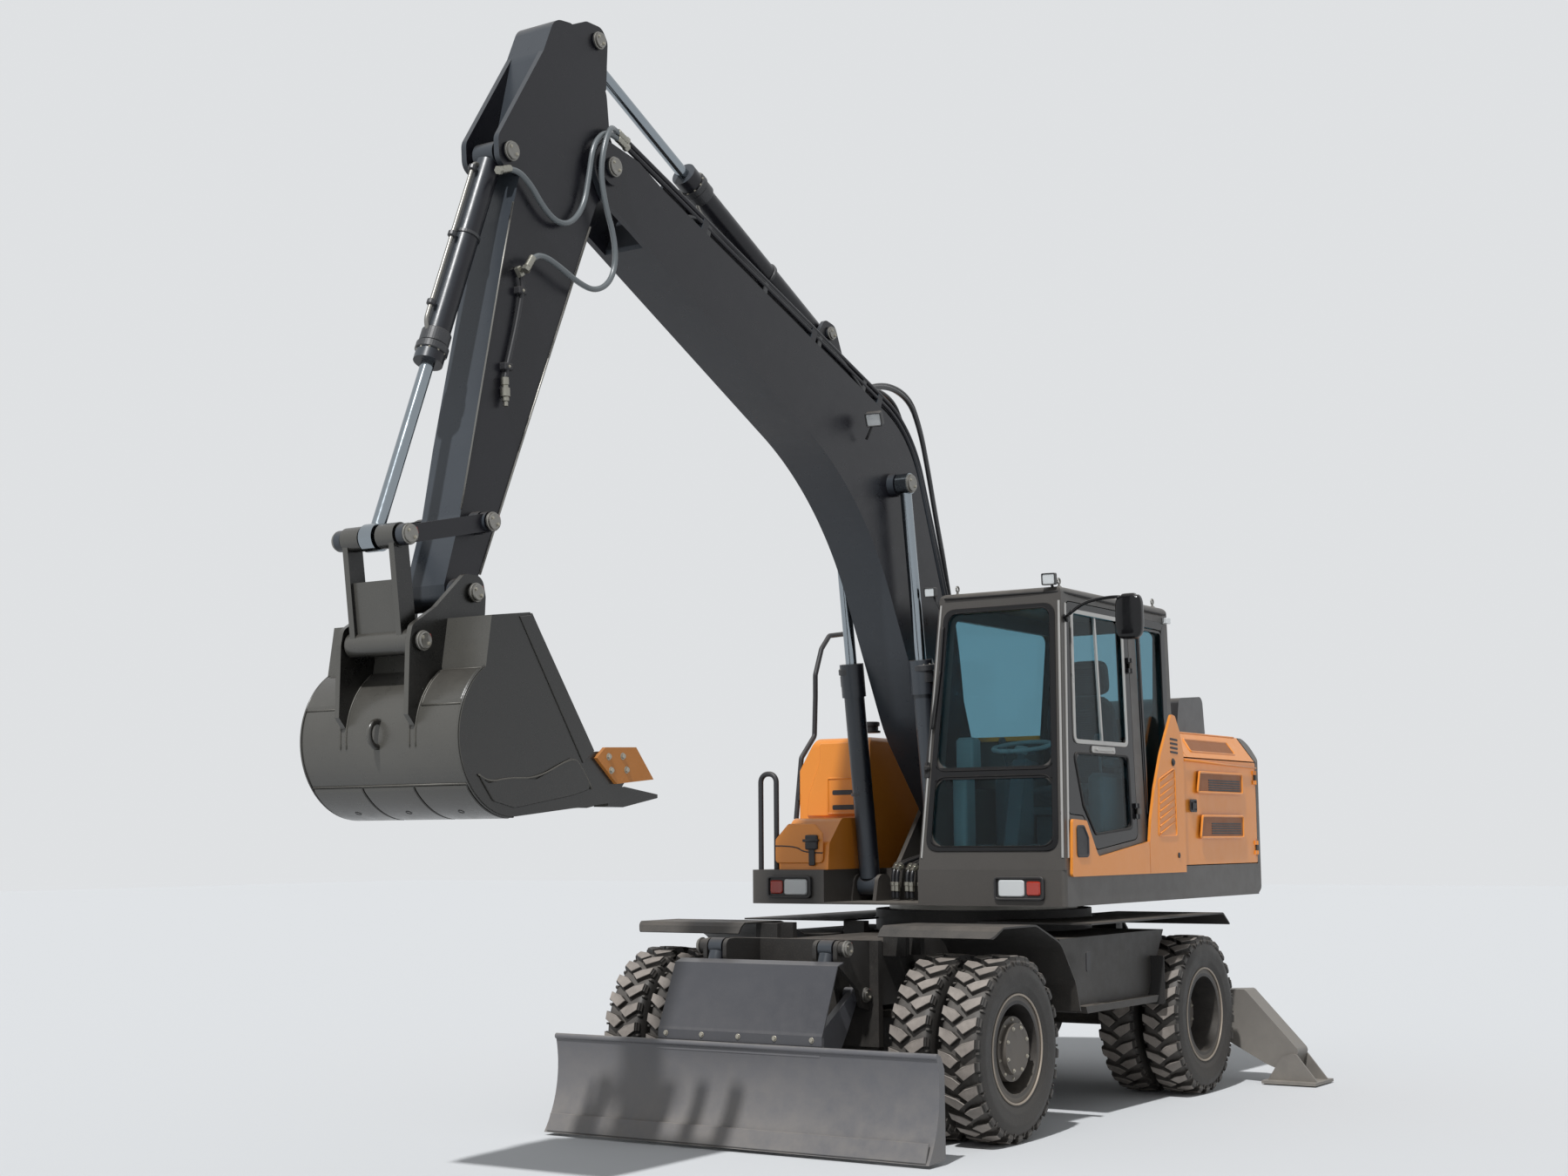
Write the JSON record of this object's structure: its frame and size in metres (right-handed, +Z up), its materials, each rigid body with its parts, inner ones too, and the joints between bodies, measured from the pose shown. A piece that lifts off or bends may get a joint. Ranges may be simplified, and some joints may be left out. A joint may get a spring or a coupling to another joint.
{
  "type": "wheeled excavator",
  "caption": "Wheeled excavator with a dozer blade, rear outriggers, twin tyres, an articulated boom, arm and bucket, and a glazed cab.",
  "frame": {"origin": "on the ground under the centre of the bounding box", "axes": "+X towards the blade end, +Y towards the cab side, +Z up"},
  "size_m": [7.856, 3.43, 5.9038],
  "materials": {
    "dark_paint": "semi-gloss",
    "grey_paint": "satin",
    "orange_paint": "semi-gloss",
    "frame_paint": "satin",
    "tyre": "matt",
    "rim_paint": "satin",
    "chrome": "polished",
    "steel": "satin",
    "glass": "clear",
    "trim": "matt",
    "seat_fabric": "matt",
    "lamp": "gloss",
    "cast": "matt"
  },
  "bodies": {
    "chassis": {"chassis_frame": "frame_paint", "slew_bearing": "steel", "front_axle": "frame_paint", "rear_axle": "frame_paint", "drive_shafts": "frame_paint", "fenders": "frame_paint", "step_boxes": "frame_paint"},
    "knuckle_left": {"knuckle_left": "frame_paint"},
    "knuckle_right": {"knuckle_right": "frame_paint"},
    "wheel_front_left": {"tyres_front_left": "tyre", "rims_front_left": "rim_paint"},
    "wheel_front_right": {"tyres_front_right": "tyre", "rims_front_right": "rim_paint"},
    "wheel_rear_left": {"tyres_rear_left": "tyre", "rims_rear_left": "rim_paint"},
    "wheel_rear_right": {"tyres_rear_right": "tyre", "rims_rear_right": "rim_paint"},
    "blade": {"blade": "dark_paint", "blade_cover": "dark_paint"},
    "blade_barrels": {"blade_cylinder_barrels": "dark_paint"},
    "blade_rods": {"blade_cylinder_rods": "chrome"},
    "outrigger_left": {"outrigger_left": "grey_paint"},
    "outrigger_right": {"outrigger_right": "grey_paint"},
    "outrigger_barrel_left": {"outrigger_barrel_left": "grey_paint"},
    "outrigger_barrel_right": {"outrigger_barrel_right": "grey_paint"},
    "outrigger_rod_left": {"outrigger_rod_left": "chrome"},
    "outrigger_rod_right": {"outrigger_rod_right": "chrome"},
    "turntable": {"revolving_frame": "grey_paint", "counterweight": "grey_paint", "cab_shell": "grey_paint", "cab_glass": "glass", "cab_interior": "seat_fabric", "side_panels": "orange_paint", "tank": "orange_paint", "toolbox": "orange_paint", "handrails": "trim", "engine_block": "cast", "head_lamps": "lamp", "mirrors": "trim"},
    "cab_door": {"cab_door": "grey_paint", "cab_door_glass": "glass"},
    "engine_hood": {"engine_hood": "orange_paint"},
    "side_door_left": {"side_door_left": "orange_paint"},
    "side_door_right": {"side_door_right": "orange_paint"},
    "boom": {"boom": "dark_paint", "boom_pipes": "dark_paint", "upper_hose": "trim", "lower_hose": "trim"},
    "boom_barrels": {"boom_cylinder_barrels": "dark_paint"},
    "boom_rods": {"boom_cylinder_rods": "chrome"},
    "arm": {"arm": "dark_paint"},
    "arm_barrel": {"arm_cylinder_barrel": "dark_paint"},
    "arm_rod": {"arm_cylinder_rod": "chrome"},
    "bucket_barrel": {"bucket_cylinder_barrel": "dark_paint"},
    "bucket_rod": {"bucket_cylinder_rod": "chrome"},
    "guide_links": {"guide_links": "dark_paint"},
    "bucket_link": {"bucket_link": "dark_paint"},
    "bucket": {"bucket": "dark_paint", "side_cutters": "orange_paint"}
  },
  "joints": [
    {"name": "slew", "type": "hinge", "parent": "chassis", "child": "turntable", "pos_m": [-1.538, 0, 1.237], "axis": [0, 0, 1], "continuous": true},
    {"name": "steer_left", "type": "hinge", "parent": "chassis", "child": "knuckle_left", "pos_m": [0.392, 0.6, 0.503], "axis": [0, 0, 1], "range_deg": [-26, 26]},
    {"name": "steer_right", "type": "hinge", "parent": "chassis", "child": "knuckle_right", "pos_m": [0.392, -0.6, 0.503], "axis": [0, 0, 1], "range_deg": [-26, 26]},
    {"name": "wheel_front_left", "type": "hinge", "parent": "knuckle_left", "child": "wheel_front_left", "pos_m": [0.392, 0.9635, 0.503], "axis": [0, 1, 0], "continuous": true},
    {"name": "wheel_rear_left", "type": "hinge", "parent": "chassis", "child": "wheel_rear_left", "pos_m": [-2.242, 0.9635, 0.503], "axis": [0, 1, 0], "continuous": true},
    {"name": "wheel_front_right", "type": "hinge", "parent": "knuckle_right", "child": "wheel_front_right", "pos_m": [0.392, -0.9635, 0.503], "axis": [0, 1, 0], "continuous": true},
    {"name": "wheel_rear_right", "type": "hinge", "parent": "chassis", "child": "wheel_rear_right", "pos_m": [-2.242, -0.9635, 0.503], "axis": [0, 1, 0], "continuous": true},
    {"name": "blade_lift", "type": "hinge", "parent": "chassis", "child": "blade", "pos_m": [0.692, 0, 0.785], "axis": [0, -1, 0], "range_deg": [-8, 26]},
    {"name": "blade_cylinders", "type": "hinge", "parent": "chassis", "child": "blade_barrels", "pos_m": [0.938, 0, 1.047], "axis": [0, -1, 0], "range_deg": [-7, 21]},
    {"name": "blade_rods", "type": "slide", "parent": "blade_barrels", "child": "blade_rods", "axis": [0.3455, 0, -0.9384], "range_m": [-0.16, 0.05]},
    {"name": "boom_lift", "type": "hinge", "parent": "turntable", "child": "boom", "pos_m": [-1.588, -0.22, 1.8], "axis": [0, -1, 0], "range_deg": [-62, 3]},
    {"name": "boom_cylinders", "type": "hinge", "parent": "turntable", "child": "boom_barrels", "pos_m": [-0.91, -0.22, 1.345], "axis": [0, -1, 0], "range_deg": [-63, 4]},
    {"name": "boom_rods", "type": "slide", "parent": "boom_barrels", "child": "boom_rods", "axis": [0.1469, 0, 0.9892], "range_m": [-0.86, 0.05]},
    {"name": "arm_swing", "type": "hinge", "parent": "boom", "child": "arm", "pos_m": [2.342, -0.22, 5.14], "axis": [0, 1, 0], "range_deg": [-78, 32]},
    {"name": "arm_cylinder", "type": "hinge", "parent": "boom", "child": "arm_barrel", "pos_m": [0.092, -0.22, 4.71], "axis": [0, 1, 0], "range_deg": [-5, 5]},
    {"name": "arm_rod", "type": "slide", "parent": "arm_barrel", "child": "arm_rod", "axis": [0.9013, 0, 0.4331], "range_m": [-0.88, 0.37]},
    {"name": "bucket_curl", "type": "hinge", "parent": "arm", "child": "bucket", "pos_m": [3.442, -0.22, 2.79], "axis": [0, 1, 0], "range_deg": [-110, 40]},
    {"name": "bucket_cylinder", "type": "hinge", "parent": "arm", "child": "bucket_barrel", "pos_m": [3.092, -0.22, 5.03], "axis": [0, 1, 0], "range_deg": [-8, 8]},
    {"name": "bucket_rod", "type": "slide", "parent": "bucket_barrel", "child": "bucket_rod", "axis": [0.3577, 0, -0.9338], "range_m": [-0.76, 0.28]},
    {"name": "guide_links", "type": "hinge", "parent": "arm", "child": "guide_links", "pos_m": [3.322, -0.22, 3.14], "axis": [0, 1, 0], "range_deg": [-89, 33]},
    {"name": "bucket_link", "type": "hinge", "parent": "bucket", "child": "bucket_link", "pos_m": [3.792, -0.22, 2.54], "axis": [0, -1, 0], "range_deg": [-89, 33]},
    {"name": "outrigger_left", "type": "hinge", "parent": "chassis", "child": "outrigger_left", "pos_m": [-3.058, 0.45, 0.5], "axis": [1, 0, 0], "range_deg": [-4, 40]},
    {"name": "outrigger_cylinder_left", "type": "hinge", "parent": "chassis", "child": "outrigger_barrel_left", "pos_m": [-3.058, 0.18, 1], "axis": [1, 0, 0], "range_deg": [-2, 11]},
    {"name": "outrigger_rod_left", "type": "slide", "parent": "outrigger_barrel_left", "child": "outrigger_rod_left", "axis": [0, 0.8768, -0.4808], "range_m": [-0.25, 0.03]},
    {"name": "outrigger_right", "type": "hinge", "parent": "chassis", "child": "outrigger_right", "pos_m": [-3.058, -0.45, 0.5], "axis": [-1, 0, 0], "range_deg": [-4, 40]},
    {"name": "outrigger_cylinder_right", "type": "hinge", "parent": "chassis", "child": "outrigger_barrel_right", "pos_m": [-3.058, -0.18, 1], "axis": [-1, 0, 0], "range_deg": [-2, 11]},
    {"name": "outrigger_rod_right", "type": "slide", "parent": "outrigger_barrel_right", "child": "outrigger_rod_right", "axis": [0, -0.8768, -0.4808], "range_m": [-0.25, 0.03]},
    {"name": "cab_door", "type": "hinge", "parent": "turntable", "child": "cab_door", "pos_m": [-1.56212, 1.08401, 2.3], "axis": [-0.0416, -0.047, 0.998], "range_deg": [0, 90]},
    {"name": "engine_hood", "type": "hinge", "parent": "turntable", "child": "engine_hood", "pos_m": [-2.36, 0, 2.338], "axis": [0, -1, 0], "range_deg": [-60, 0]},
    {"name": "side_door_left", "type": "hinge", "parent": "turntable", "child": "side_door_left", "pos_m": [-3.55308, 1.114, 1.9], "axis": [0, 0, 1], "range_deg": [0, 90]},
    {"name": "side_door_right", "type": "hinge", "parent": "turntable", "child": "side_door_right", "pos_m": [-3.55308, -1.114, 1.9], "axis": [0, 0, 1], "range_deg": [-90, 0]}
  ],
  "couplings": [
    {"joint": "steer_right", "follows": "steer_left", "ratio": 1},
    {"joint": "blade_cylinders", "follows": "blade_lift", "ratio": 0.771},
    {"joint": "blade_rods", "follows": "blade_lift", "m_per_rad": -0.338},
    {"joint": "boom_cylinders", "follows": "boom_lift", "ratio": 0.994},
    {"joint": "boom_rods", "follows": "boom_lift", "m_per_rad": 0.785},
    {"joint": "arm_cylinder", "follows": "arm_swing", "ratio": 0.009},
    {"joint": "arm_rod", "follows": "arm_swing", "m_per_rad": 0.629},
    {"joint": "bucket_cylinder", "follows": "bucket_curl", "ratio": 0.01},
    {"joint": "bucket_rod", "follows": "bucket_curl", "m_per_rad": 0.385},
    {"joint": "guide_links", "follows": "bucket_curl", "ratio": 0.78},
    {"joint": "bucket_link", "follows": "bucket_curl", "ratio": 0.79},
    {"joint": "outrigger_cylinder_left", "follows": "outrigger_left", "ratio": 0.26},
    {"joint": "outrigger_rod_left", "follows": "outrigger_left", "m_per_rad": -0.345},
    {"joint": "outrigger_cylinder_right", "follows": "outrigger_right", "ratio": 0.26},
    {"joint": "outrigger_rod_right", "follows": "outrigger_right", "m_per_rad": -0.345}
  ]
}
